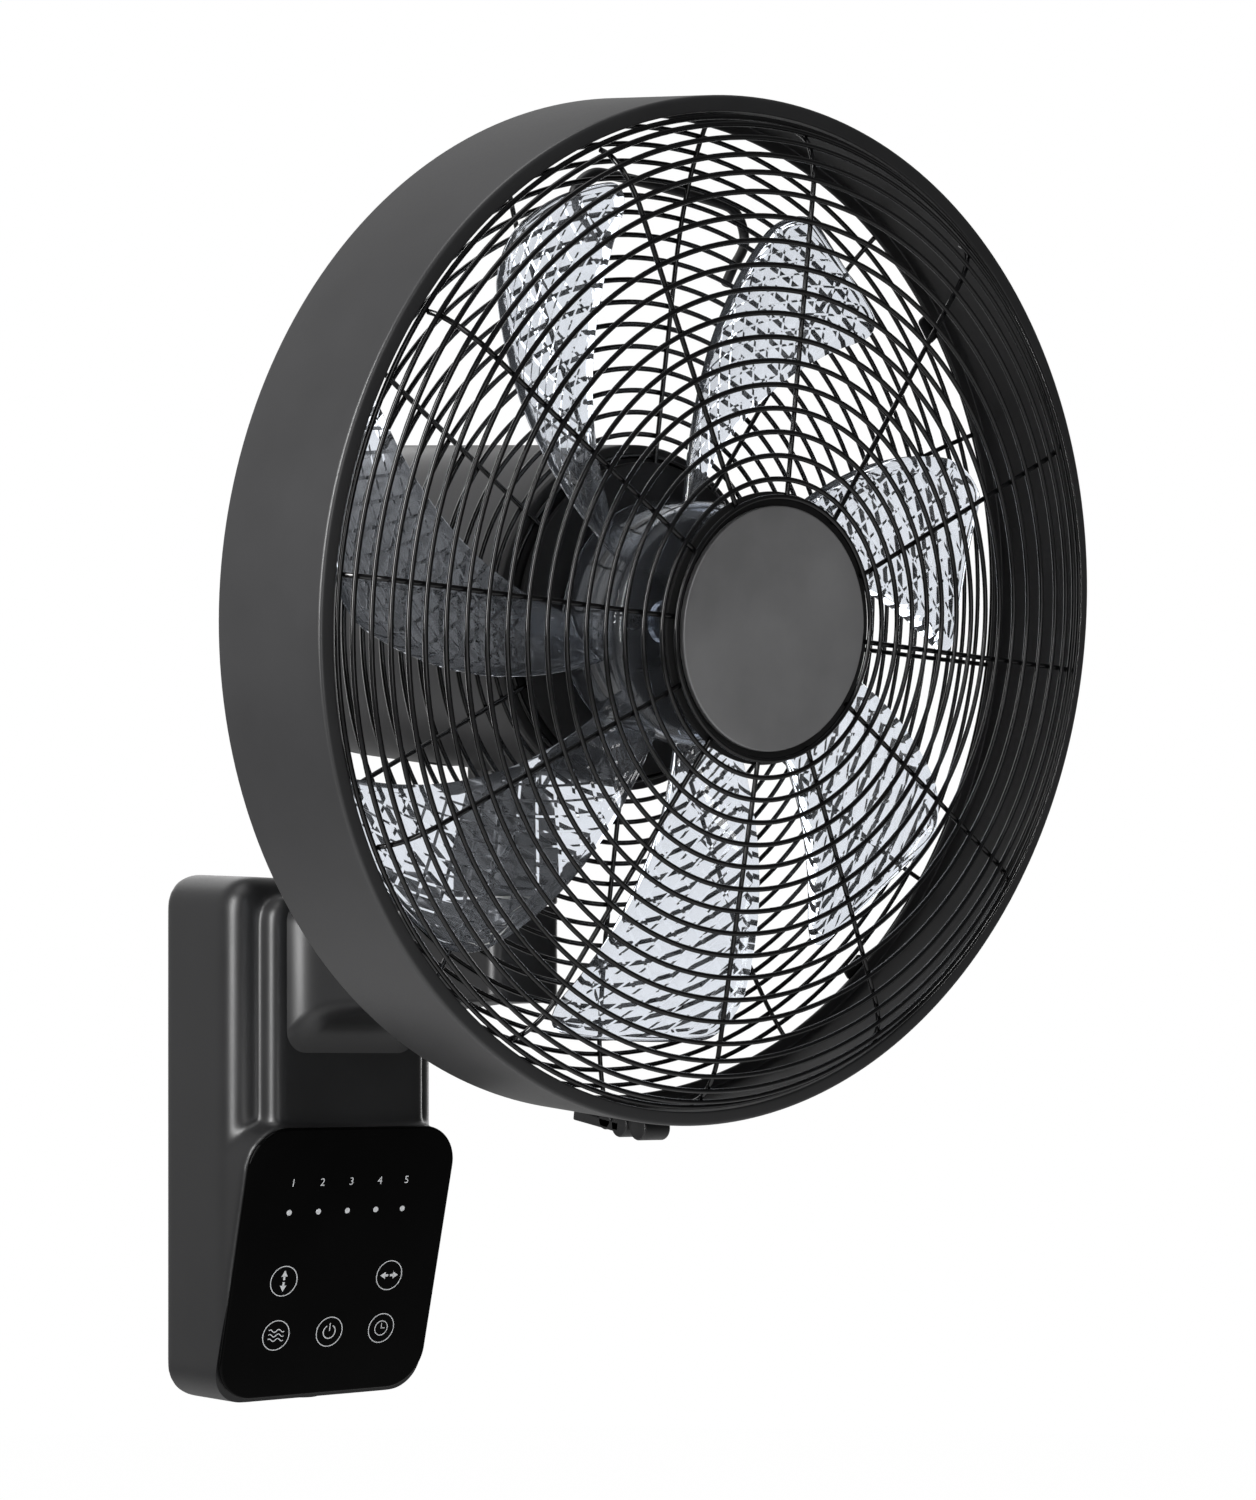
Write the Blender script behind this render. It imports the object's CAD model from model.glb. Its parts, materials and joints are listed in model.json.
"""Wall mounted fan: smooth pieces, finishes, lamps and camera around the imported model.

Lengths in this file are millimetres unless a name or a property says otherwise, and a piece
turns into metres when its mesh is made. The head is drawn in its own space, where distances
along its axis count rearward from the front rim of the drum.
"""

import json
import math

import bmesh
import bpy
import numpy as np
from mathutils import Matrix, Vector


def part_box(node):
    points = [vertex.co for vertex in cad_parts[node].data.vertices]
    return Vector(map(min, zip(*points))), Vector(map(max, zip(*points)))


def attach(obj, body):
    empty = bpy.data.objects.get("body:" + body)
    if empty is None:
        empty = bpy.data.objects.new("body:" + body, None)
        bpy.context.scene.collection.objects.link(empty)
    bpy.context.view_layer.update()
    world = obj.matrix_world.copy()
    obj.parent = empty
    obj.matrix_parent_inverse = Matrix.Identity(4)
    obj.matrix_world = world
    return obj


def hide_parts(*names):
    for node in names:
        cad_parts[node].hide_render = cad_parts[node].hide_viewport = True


bl_info = {
    "name": "Wall mounted fan",
    "version": (1, 0, 0),
    "blender": (4, 5, 0),
    "location": "3D View > Sidebar > Fan",
    "description": "Dresses the packed wall fan with smooth pieces and finishes",
    "category": "Object",
}

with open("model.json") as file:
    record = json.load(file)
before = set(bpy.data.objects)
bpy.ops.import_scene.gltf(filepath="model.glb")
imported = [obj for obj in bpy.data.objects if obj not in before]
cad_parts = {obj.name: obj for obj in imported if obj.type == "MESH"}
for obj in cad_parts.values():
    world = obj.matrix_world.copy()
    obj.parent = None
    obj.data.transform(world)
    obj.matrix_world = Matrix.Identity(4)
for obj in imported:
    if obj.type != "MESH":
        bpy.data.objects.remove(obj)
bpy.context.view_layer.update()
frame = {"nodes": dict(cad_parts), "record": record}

# ------------------------------------------------------------------ sizes shared by the pieces

METRES = 0.001  # from millimetres
CLEARANCE = 0.3
TILT_AXIS_HEIGHT = 272.6
PAN_AXIS_FROM_WALL = 218
HEAD_TILT_AXIS = 189.5
TILT_AT_REST = math.radians(9.36)
HEAD = (
    Matrix.Translation((0, -PAN_AXIS_FROM_WALL, TILT_AXIS_HEIGHT))
    @ Matrix.Rotation(TILT_AT_REST, 4, "X")
    @ Matrix.Translation((0, -HEAD_TILT_AXIS, 0))
)

BASE_WIDTH, BASE_HEIGHT, BASE_DEPTH = 136.6, 292, 70.5
BASE_CORNER, BASE_EDGE, BASE_WALL = 19, 14, 3
BASE_HOLE_SPAN, BASE_HOLE_FROM_WALL, BASE_HOLE_RADIUS = 60, 9, 4.3
INLET_FROM_WALL, INLET_RADIUS = 34, 6
BASE_TOP_DRAFT = 5  # the top face falls by this from the wall to the front
PAD_WIDTH, PAD_TOP, PAD_DEPTH, PAD_CORNER, PAD_EDGE = 104, 131, 83, 14, 9

PANEL_WIDTH, PANEL_LENGTH, PANEL_THICKNESS, PANEL_CORNER = 135.6, 154, 3, 23
PANEL_TOP_DEPTH, PANEL_TOP_HEIGHT = 90.6, 4.8
PANEL_LEAN = math.radians(14.7)
PANEL = Matrix.Translation((0, -PANEL_TOP_DEPTH, PANEL_TOP_HEIGHT)) @ Matrix.Rotation(
    PANEL_LEAN, 4, "X"
)

ARM_FOOT_WIDTH, ARM_ROOT_WIDTH, ARM_FLARE, ARM_WALL = 86, 68, 8, 3
ARM_ROOT_CORNER, ELBOW_CORNER = 12, 4
ARM_FOOT_BOTTOM, ARM_ROOT_BOTTOM, ARM_FOOT_TOP = 45, 64, 129
ELBOW_WIDTH, ELBOW_FRONT, ELBOW_EDGE, ELBOW_BOTTOM, ELBOW_TOP = 45, 24, 9, 71, 120
ARM_LENGTH = PAN_AXIS_FROM_WALL - ELBOW_FRONT - PAD_DEPTH
ARM_END = ARM_LENGTH + 2 * ELBOW_FRONT
BUSHING_RADIUS, BUSHING_FLANGE_RADIUS, BUSHING_WALL = 16, 20, 2

NECK_BOTTOM = 121.6
NECK_BOSS_RADIUS, TILT_PIN_RADIUS = 11, 4
TILT_DOWN, TILT_UP = math.radians(10), math.radians(25)

DRUM_RADIUS, DRUM_TAPER, DRUM_DEPTH, DRUM_WALL, DRUM_LIP, DRUM_SHELF = 235, 5, 72, 2.4, 7, 6
WIRE, SPOKES = 2.4, 12
FRONT_RINGS, SHOULDER_RINGS, FRONT_FIRST, FRONT_CROWN, FRONT_RISE = 19, 5, 59.8, 20.5, 4.9
SHOULDER_WIDTH, SHOULDER_DEPTH, FIRST_GAP = 29.7, 15.7, 7.9
REAR_RINGS, REAR_EDGE_RINGS, REAR_FIRST, REAR_CROWN = 19, 6, 70, 12.4
CLIP_WIDTH, CLIP_THICKNESS, CLIP_CORNER = 14, 2, 2
CATCH_FRONT, CATCH_PITCH, CATCH_REACH, CATCH_HALF_WIDTH = 30, 14, 7, 8
KNUCKLE_RADIUS, KNUCKLE_DROP = 6, 10
SMALL_KNUCKLE_RADIUS, SMALL_KNUCKLE_DROP = 4.8, 7.5
HOUSING_RADIUS, HOUSING_WALL, HOUSING_FRONT, HOUSING_SEAM, HOUSING_REAR = 83, 2.5, 85.5, 290, 345
CAP_THICKNESS = 3
CAP_FRONT = HOUSING_FRONT - CLEARANCE - CAP_THICKNESS
NECK_SLOT_WIDTH, NECK_SLOT_CORNER, NECK_HALF_DEPTH = 35, 9, 12
REAR_PLANE = CAP_FRONT - CLEARANCE - WIRE
SHELF_REAR = REAR_PLANE - REAR_CROWN - WIRE - CLEARANCE
BADGE_RADIUS, BADGE_THICKNESS, BADGE_FRONT = 55.8, 2.6, -20.9

FLAT = math.cos(math.pi / 48)  # the drum's solid has 48 faces, and its grilles fit inside them
GRILLE_RIM = (DRUM_RADIUS - DRUM_LIP) * FLAT - WIRE - 1.5 * CLEARANCE
SHOULDER = GRILLE_RIM - SHOULDER_WIDTH


def drum_outside(y):
    return DRUM_RADIUS + DRUM_TAPER * y / DRUM_DEPTH


def drum_inside(y):
    return drum_outside(y) - DRUM_WALL


REAR_RIM = drum_inside(SHELF_REAR) * FLAT - WIRE / 2 - 2.5 * CLEARANCE

BLADES, BLADE_TIP, BLADE_THICKNESS, BLADE_CORNER, BLADE_CAMBER = 7, 203, 2, 18, 4
BLADE_REAR, BLADE_FRONT = 64, 40
HUB_RADIUS, HUB_FRONT, HUB_REAR, HUB_WALL = 57, 25, 66, 2.5

BAR_THICKNESS, BAR_FOOT, BAR_HALF_WIDTH, BAR_HEIGHT, BAR_FROM_RIM = 5, 38, 56, 39, 29.6

# The photograph: its size, the camera's focal length and the row of its horizon, in pixels
PHOTO_WIDTH, PHOTO_HEIGHT, FOCAL_LENGTH, HORIZON_ROW = 1256, 1500, 2868, 1066.15
SENSOR_WIDTH = 36


# ------------------------------------------------------------------ mesh helpers


def rounded_rectangle(width, height, radius, middle=(0, 0), steps=10):
    """Points of a rounded rectangle, counter-clockwise, as (x, z)."""
    points = []
    for corner, (sx, sz) in enumerate([(1, 1), (-1, 1), (-1, -1), (1, -1)]):
        for n in range(steps + 1):
            angle = math.pi / 2 * (corner + n / steps)
            points.append((
                middle[0] + sx * (width / 2 - radius) + radius * math.cos(angle),
                middle[1] + sz * (height / 2 - radius) + radius * math.sin(angle),
            ))
    return points


def soften(profile, radii, steps=6):
    """A closed profile with an arc at each corner. A radius of 0 keeps the corner."""
    result = []
    count = len(profile)
    for i, (point, radius) in enumerate(zip(profile, radii)):
        here = Vector(point)
        if radius <= 0:
            result.append(tuple(here))
            continue
        before, after = Vector(profile[i - 1]) - here, Vector(profile[(i + 1) % count]) - here
        half = before.angle(after) / 2
        reach = min(radius / math.tan(half), 0.49 * before.length, 0.49 * after.length)
        start, end = here + before.normalized() * reach, here + after.normalized() * reach
        for n in range(steps + 1):
            t = n / steps
            result.append(tuple((1 - t) ** 2 * start + 2 * t * (1 - t) * here + t * t * end))
    return result


def lathe(profile, steps):
    """Closed profile of (radius, y) turned about Y. Points on the axis become poles."""
    points, faces, rows = [], [], []
    for radius, y in profile:
        if abs(radius) < 1e-6:
            rows.append([len(points)] * steps)
            points.append((0, y, 0))
            continue
        rows.append([len(points) + n for n in range(steps)])
        for n in range(steps):
            angle = 2 * math.pi * n / steps
            points.append((radius * math.cos(angle), y, radius * math.sin(angle)))
    for i, row in enumerate(rows):
        other = rows[(i + 1) % len(rows)]
        if row[0] == row[1] and other[0] == other[1]:
            continue
        for n in range(steps):
            m = (n + 1) % steps
            corners = list(dict.fromkeys([row[n], row[m], other[m], other[n]]))
            if len(corners) > 2:
                faces.append(corners)
    return points, faces


def loft(outlines, closed_ends=True):
    """Skin through outlines with the same number of points."""
    count = len(outlines[0])
    points = [p for outline in outlines for p in outline]
    faces = []
    for i in range(len(outlines) - 1):
        for j in range(count):
            a, b = i * count + j, i * count + (j + 1) % count
            faces.append([a, b, b + count, a + count])
    if closed_ends:
        last = (len(outlines) - 1) * count
        faces += [list(range(count))[::-1], [last + j for j in range(count)]]
    return points, faces


def sweep(path, radius, sides=10, closed=False):
    """Round bar along a path."""
    path = [Vector(p) for p in path]
    count = len(path)
    tangents = []
    for i in range(count):
        ahead = path[(i + 1) % count] if closed or i + 1 < count else path[i]
        behind = path[i - 1] if closed or i > 0 else path[i]
        tangents.append((ahead - behind).normalized())
    side = tangents[0].orthogonal().normalized()
    outlines = []
    for point, tangent in zip(path, tangents):
        side = (side - tangent * side.dot(tangent)).normalized()
        up = tangent.cross(side)
        outlines.append([
            tuple(point + radius * (side * math.cos(a) + up * math.sin(a)))
            for a in (2 * math.pi * n / sides for n in range(sides))
        ])
    if closed:
        outlines.append(outlines[0])
        return weld(loft(outlines, closed_ends=False))
    return loft(outlines)


def weld(geometry):
    """Points at the same place become one."""
    points, faces = geometry
    index, kept, renamed = {}, [], []
    for p in points:
        key = tuple(round(c, 5) for c in p)
        if key not in index:
            index[key] = len(kept)
            kept.append(p)
        renamed.append(index[key])
    return kept, [[renamed[i] for i in face] for face in faces]


def ring_wire(radius, y, thickness, steps=192, sides=10):
    """Round wire bent to a circle about Y."""
    section = [
        (radius + thickness / 2 * math.cos(a), y + thickness / 2 * math.sin(a))
        for a in (2 * math.pi * n / sides for n in range(sides))
    ]
    return lathe(section, steps)


def together(*parts):
    points, faces = [], []
    for part_points, part_faces in parts:
        start = len(points)
        points += list(part_points)
        faces += [[start + i for i in face] for face in part_faces]
    return points, faces


def placed(geometry, matrix):
    points, faces = geometry
    return [tuple(matrix @ Vector(p)) for p in points], faces


def across_y(outline, y0, y1, edge=0, steps=5):
    """Outline function of an inset, extruded along Y, with both edges rounded."""
    rows = []
    for n in range(steps + 1 if edge else 1):
        a = math.pi / 2 * n / steps
        rows.append((edge * (1 - math.sin(a)), y0 + edge * (1 - math.cos(a))))
    rows += [(inset, y1 - (y - y0)) for inset, y in reversed(rows)]
    return loft([[(x, y, z) for x, z in outline(inset)] for inset, y in rows])


def mesh_of(name, geometry, place=Matrix.Identity(4)):
    """Mesh in metres from points in millimetres, with outward faces."""
    points, faces = geometry
    mesh = bpy.data.meshes.new(name)
    mesh.from_pydata([METRES * (place @ Vector(p)) for p in points], [], faces)
    bm = bmesh.new()
    bm.from_mesh(mesh)
    bmesh.ops.recalc_face_normals(bm, faces=bm.faces)
    bm.to_mesh(mesh)
    bm.free()
    return mesh


def object_of(name, mesh):
    made = bpy.data.objects.new(name, mesh)
    bpy.context.scene.collection.objects.link(made)
    return made


def shade(piece, sharp_degrees=40):
    piece.data.polygons.foreach_set("use_smooth", [True] * len(piece.data.polygons))
    piece.data.set_sharp_from_angle(angle=math.radians(sharp_degrees))


def bake_modifiers(piece):
    """The modifiers' result becomes the mesh."""
    evaluated = piece.evaluated_get(bpy.context.evaluated_depsgraph_get())
    mesh = bpy.data.meshes.new_from_object(evaluated)
    old = piece.data
    piece.modifiers.clear()
    piece.data = mesh
    bpy.data.meshes.remove(old)


def carve(piece, *cutters):
    """Takes each cutter's space out of the piece."""
    for geometry in cutters:
        cutter = object_of("cutter", mesh_of("cutter", geometry))
        modifier = piece.modifiers.new("carve", "BOOLEAN")
        modifier.object, modifier.operation, modifier.solver = cutter, "DIFFERENCE", "EXACT"
        bake_modifiers(piece)
        mesh = cutter.data
        bpy.data.objects.remove(cutter)
        bpy.data.meshes.remove(mesh)


def upright_at(y=0, x=0):
    """Stands a shape drawn about Y upright, at a place on the plan."""
    return Matrix.Translation((x, y, 0)) @ Matrix.Rotation(math.pi / 2, 4, "X")


def finish_piece(piece, slot, body, replaced=(), finish=None, sharp_degrees=40):
    """Gives a piece its place in the assembly and its slot's finish, or another one."""
    shade(piece, sharp_degrees)
    piece.data.materials.clear()
    piece.data.materials.append(FINISHES[finish or slot])
    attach(piece, body)
    if replaced:
        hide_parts(*replaced)
    return piece


def add_piece(name, geometry, slot, body, node, place=Matrix.Identity(4), finish=None,
              sharp_degrees=40, cutters=()):
    """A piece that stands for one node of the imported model."""
    piece = object_of(name, mesh_of(name, geometry, place))
    carve(piece, *cutters)
    if len(piece.data.polygons) == 0:
        raise RuntimeError(f"{name} has no faces")
    return finish_piece(piece, slot, body, (node,), finish, sharp_degrees)


# ------------------------------------------------------------------ finishes


def linear(colour):
    """sRGB hex colour as linear red, green, blue and alpha."""
    channels = [int(colour[i:i + 2], 16) / 255 for i in (1, 3, 5)]
    return tuple(
        c / 12.92 if c <= 0.04045 else ((c + 0.055) / 1.055) ** 2.4 for c in channels
    ) + (1.0,)


def add_node(tree, kind, inputs=None, **settings):
    """Adds a node, with its settings and its inputs as values or sockets to link."""
    node = tree.nodes.new(kind)
    for key, value in settings.items():
        setattr(node, key, value)
    for key, value in (inputs or {}).items():
        socket = node.inputs[key]
        if isinstance(value, bpy.types.NodeSocket):
            tree.links.new(value, socket)
        else:
            socket.default_value = value
    return node


def start_finish(name, inputs):
    """Material with one Principled shader, its tree and that shader."""
    material = bpy.data.materials.new(name)
    material.use_nodes = True
    tree = material.node_tree
    tree.nodes.clear()
    principled = add_node(tree, "ShaderNodeBsdfPrincipled", inputs)
    add_node(tree, "ShaderNodeOutputMaterial", {"Surface": principled.outputs["BSDF"]})
    return material, tree, principled


def grain(tree, principled, size, height, roughness, colour, lift):
    """Fine surface grain: bumps of a size and height in mm, roughness that wanders between two
    values, and a colour that wanders up to a lighter one."""
    place = add_node(tree, "ShaderNodeTexCoord").outputs["Object"]
    fine = add_node(tree, "ShaderNodeTexNoise", {
        "Vector": place, "Scale": 1 / (size * METRES), "Detail": 3.0, "Roughness": 0.6})
    broad = add_node(tree, "ShaderNodeTexNoise", {
        "Vector": place, "Scale": 22.0, "Detail": 4.0, "Roughness": 0.55})
    mixed = add_node(tree, "ShaderNodeMath", {
        0: fine.outputs["Fac"], 1: broad.outputs["Fac"], 2: 0.25}, operation="MULTIPLY_ADD")
    rough = add_node(tree, "ShaderNodeMapRange", {
        "Value": mixed.outputs[0], "From Min": 0.3, "From Max": 0.7,
        "To Min": roughness[0], "To Max": roughness[1]})
    tree.links.new(rough.outputs["Result"], principled.inputs["Roughness"])
    bump = add_node(tree, "ShaderNodeBump", {
        "Height": fine.outputs["Fac"], "Distance": height * METRES, "Strength": 1.0})
    tree.links.new(bump.outputs["Normal"], principled.inputs["Normal"])
    ramp = add_node(tree, "ShaderNodeValToRGB", {"Fac": broad.outputs["Fac"]})
    dark, light = ramp.color_ramp.elements
    dark.position, light.position = 0.3, 0.7
    dark.color = colour
    light.color = (*(lift * c for c in colour[:3]), 1.0)
    tree.links.new(ramp.outputs["Color"], principled.inputs["Base Color"])


FINISHES = {}


def finish_rows(colours):
    """Slot or finish, name, grain (size and height in mm), roughness, colour, how many times
    lighter the colour wanders, and the shader's own inputs. The real grains of moulded plastic
    and lacquer are about a tenth as wide; they are drawn this coarse so that they show."""
    return (
        # Injection moulded in a satin tool: spreads the highlights on the edges into soft bands.
        ("satin_black_plastic", "ABS, satin moulded", (0.9, 0.012), (0.34, 0.42),
         colours.shell, 1.31, {"IOR": 1.53}),
        # The drum's tool is smoother: a little lighter, with broad soft reflections.
        ("drum_plastic", "ABS drum, satin moulded", (1.1, 0.01), (0.33, 0.4),
         colours.drum, 1.26, {"IOR": 1.53}),
        # Moulded in an eroded tool: hardly any highlight.
        ("matt_black_plastic", "ABS, matt moulded", (0.8, 0.03), (0.55, 0.7),
         colours.matt, 1.54, {"IOR": 1.53, "Specular IOR Level": 0.4}),
        # Metallic grey lacquer on ABS: its flakes give a fine even glitter.
        ("badge_lacquer", "Badge lacquer, sprayed", (0.9, 0.04), (0.36, 0.48),
         colours.badge, 1.27, {"Metallic": 0.5, "IOR": 1.5}),
        # Powder coat baked on steel wire: a glossy skin with slow waves along the wire.
        ("black_coated_wire", "Steel wire, black powder coat", (2.2, 0.015), (0.1, 0.16),
         colours.wire, 1.47, {"IOR": 1.5}),
        # Tempered glass, screen printed black behind: mirror gloss over an even black.
        ("black_glass", "Glass, black printed behind", (40, 0.02), (0.03, 0.06),
         colours.glass, 2.0, {"IOR": 1.52, "Specular IOR Level": 0.05}),
        # Flat light grey ink, screen printed on the glass.
        ("panel_print", "Screen print, light grey", (0.5, 0.004), (0.5, 0.6),
         colours.print, 1.11, {"IOR": 1.45}),
        # Turned or pressed bright: mirrors its surroundings softly.
        ("steel", "Steel, bright", (0.6, 0.006), (0.22, 0.36),
         linear("#9a9b9d"), 1.21, {"Metallic": 1.0}),
        # Zinc plated in a bath: crystals that catch the light in patches.
        ("zinc_plate", "Zinc plate", (3.0, 0.02), (0.28, 0.5),
         linear("#a2a6ab"), 1.25, {"Metallic": 1.0}),
        # Moulded without dye: milky white with a waxy sheen.
        ("white_acetal", "Acetal, moulded natural", (1.0, 0.01), (0.35, 0.48),
         linear("#dcd9cf"), 1.08, {"IOR": 1.48}),
        # Enamelled wire, wound and dipped: ridges one wire thick under varnish.
        ("copper_winding", "Copper winding, varnished", (1.2, 0.15), (0.3, 0.5),
         linear("#7a4626"), 1.68, {"Metallic": 0.8}),
        # Printed board under a green mask: even, half gloss.
        ("circuit_board", "Circuit board, green mask", (1.5, 0.02), (0.35, 0.5),
         linear("#153a27"), 1.49, {"IOR": 1.5}),
        # Moulded rubber: dull black.
        ("black_rubber", "Rubber, moulded", (0.8, 0.03), (0.7, 0.85),
         linear("#0b0b0b"), 1.55, {"IOR": 1.52, "Specular IOR Level": 0.3}),
    )


class FAN_OT_finishes(bpy.types.Operator):
    """Finishes of all pieces, by slot"""

    bl_idname = "fan.finishes"
    bl_label = "Finishes"

    def execute(self, context):
        colours = context.scene.fan_colours
        for key, name, bumps, roughness, colour, lift, inputs in finish_rows(colours):
            FINISHES[key], tree, principled = start_finish(name, inputs)
            grain(tree, principled, *bumps, roughness, tuple(colour), lift)
        # Styrene, moulded clear with an embossed weave: the relief breaks up what stands behind.
        FINISHES["clear_styrene"], tree, principled = start_finish("Styrene, clear moulded", {
            "IOR": 1.59, "Roughness": 0.02, "Transmission Weight": 0.955,
            "Base Color": tuple(colours.blade)})
        emboss(tree, principled)
        return {"FINISHED"}


def emboss(tree, principled):
    """Basket weave in the blade's own coordinates: diamond cells, each a slow ramp that ends in a
    step on two of its sides, and a smooth border."""
    cell, share = 12 * METRES, 0.84  # share: how much of a cell its ramp takes
    place = add_node(tree, "ShaderNodeUVMap", uv_map="blade").outputs["UV"]
    parts = add_node(tree, "ShaderNodeSeparateXYZ", {"Vector": place})
    ramps = []
    for operation in ("ADD", "SUBTRACT"):
        along = add_node(tree, "ShaderNodeMath", {
            0: parts.outputs["X"], 1: parts.outputs["Y"]}, operation=operation)
        cells = add_node(tree, "ShaderNodeMath", {0: along.outputs[0], 1: 1 / cell},
                         operation="MULTIPLY")
        inside = add_node(tree, "ShaderNodeMath", {0: cells.outputs[0]}, operation="FRACT")
        rise = add_node(tree, "ShaderNodeMath", {0: inside.outputs[0], 1: 1 / share},
                        operation="MULTIPLY")
        drop = add_node(tree, "ShaderNodeMapRange", {
            "Value": inside.outputs[0], "From Min": share, "From Max": 1.0,
            "To Min": 1.0, "To Max": 0.0})
        ramps.append(add_node(tree, "ShaderNodeMath", {
            0: rise.outputs[0], 1: drop.outputs["Result"], 2: 0.12}, operation="SMOOTH_MIN"))
    both = add_node(tree, "ShaderNodeMath", {
        0: ramps[0].outputs[0], 1: ramps[1].outputs[0]}, operation="ADD")
    border = add_node(tree, "ShaderNodeAttribute", attribute_name="relief")
    height = add_node(tree, "ShaderNodeMath", {
        0: both.outputs[0], 1: border.outputs["Fac"]}, operation="MULTIPLY")
    bump = add_node(tree, "ShaderNodeBump", {
        "Height": height.outputs[0], "Distance": 0.22 * METRES, "Strength": 1.0})
    tree.links.new(bump.outputs["Normal"], principled.inputs["Normal"])


# ------------------------------------------------------------------ settings


def length(name, description, default):
    return bpy.props.FloatProperty(
        name=name, description=description, default=default * METRES,
        unit="LENGTH", subtype="DISTANCE", precision=5)


def colour_of(name, description, default):
    return bpy.props.FloatVectorProperty(
        name=name, description=description, subtype="COLOR", size=4,
        default=linear(default), min=0, max=1)


class FanSizes(bpy.types.PropertyGroup):
    """Sizes that a user may want to change."""

    wire: length("Wire", "Thickness of the grille wires", WIRE)
    blade: length("Blade", "Thickness of a blade", BLADE_THICKNESS)
    drum_radius: length("Drum radius", "Radius of the drum's front rim", DRUM_RADIUS)
    badge_radius: length("Badge radius", "Radius of the badge", BADGE_RADIUS)
    panel_corner: length("Panel corner", "Corner radius of the glass", PANEL_CORNER)
    bar: length("Carrying bar", "Thickness of the carrying bar", BAR_THICKNESS)


class FanColours(bpy.types.PropertyGroup):
    """Colours that a user may want to change."""

    shell: colour_of("Shell", "Colour of base, arm, neck and bar", "#131314")
    drum: colour_of("Drum", "Colour of the drum and the motor housing", "#242425")
    matt: colour_of("Matt parts", "Colour of the front cap, nuts, clips and cup", "#101011")
    badge: colour_of("Badge", "Colour of the badge", "#818182")
    wire: colour_of("Wire", "Colour of the grilles", "#060607")
    glass: colour_of("Glass", "Colour behind the glass", "#020202")
    print: colour_of("Print", "Colour of the marks on the glass", "#d2d4d6")
    blade: colour_of("Blades", "Tint of the clear wheel", "#e9eef6")
    floor: colour_of("Floor", "Colour of the floor", "#f4f4f4")


def millimetres(value):
    return value / METRES


# ------------------------------------------------------------------ wall base


def base_block(inset=0.0):
    """Body of the base: rounded front edge, and a top face that falls towards the front."""
    depth = BASE_DEPTH - inset
    rows = [(12 * n, 0.0) for n in range(5)]
    for n in range(9):
        a = math.pi / 2 * n / 8
        rows.append((depth - BASE_EDGE + BASE_EDGE * math.sin(a), BASE_EDGE * (1 - math.cos(a))))
    outlines = []
    for d, drawn in rows:
        outline = rounded_rectangle(
            BASE_WIDTH - 2 * (inset + drawn), BASE_HEIGHT - 2 * (inset + drawn),
            max(BASE_CORNER - inset - drawn, 2), steps=12)
        fall = BASE_TOP_DRAFT * d / BASE_DEPTH / (BASE_HEIGHT / 2)
        outlines.append([(x, -d, z - fall * max(z, 0)) for x, z in outline])
    return loft(outlines)


def pad_block():
    """Raised middle of the front face, which carries the arm."""
    low = PANEL_TOP_HEIGHT - 2 * PAD_CORNER
    rows = [(20, 0.0), (50, 0.0), (65, 0.0)]
    for n in range(9):
        a = math.pi / 2 * n / 8
        rows.append((PAD_DEPTH - PAD_EDGE + PAD_EDGE * math.sin(a), PAD_EDGE * (1 - math.cos(a))))
    return loft([
        [(x, -d, z) for x, z in rounded_rectangle(
            PAD_WIDTH - 2 * drawn, PAD_TOP - low - 2 * drawn, PAD_CORNER - drawn,
            (0, (PAD_TOP + low) / 2))]
        for d, drawn in rows])


def panel_frame():
    """Block behind the glass, square to it, down to the wall."""
    sine, cosine = math.sin(PANEL_LEAN), math.cos(PANEL_LEAN)
    outline = rounded_rectangle(
        PANEL_WIDTH - 0.2, PANEL_LENGTH - 0.2, PANEL_CORNER, (0, -PANEL_LENGTH / 2), steps=12)
    front = PANEL_THICKNESS + CLEARANCE
    rows = []
    for share in (0, 0.25, 0.5, 0.75, 1):
        row = []
        for x, z in outline:
            back = (PANEL_TOP_DEPTH - 1 + z * sine) / cosine
            y = front + share * (back - front)
            row.append(tuple(PANEL @ Vector((x, y, z))))
        rows.append(row)
    return loft(rows)


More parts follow.
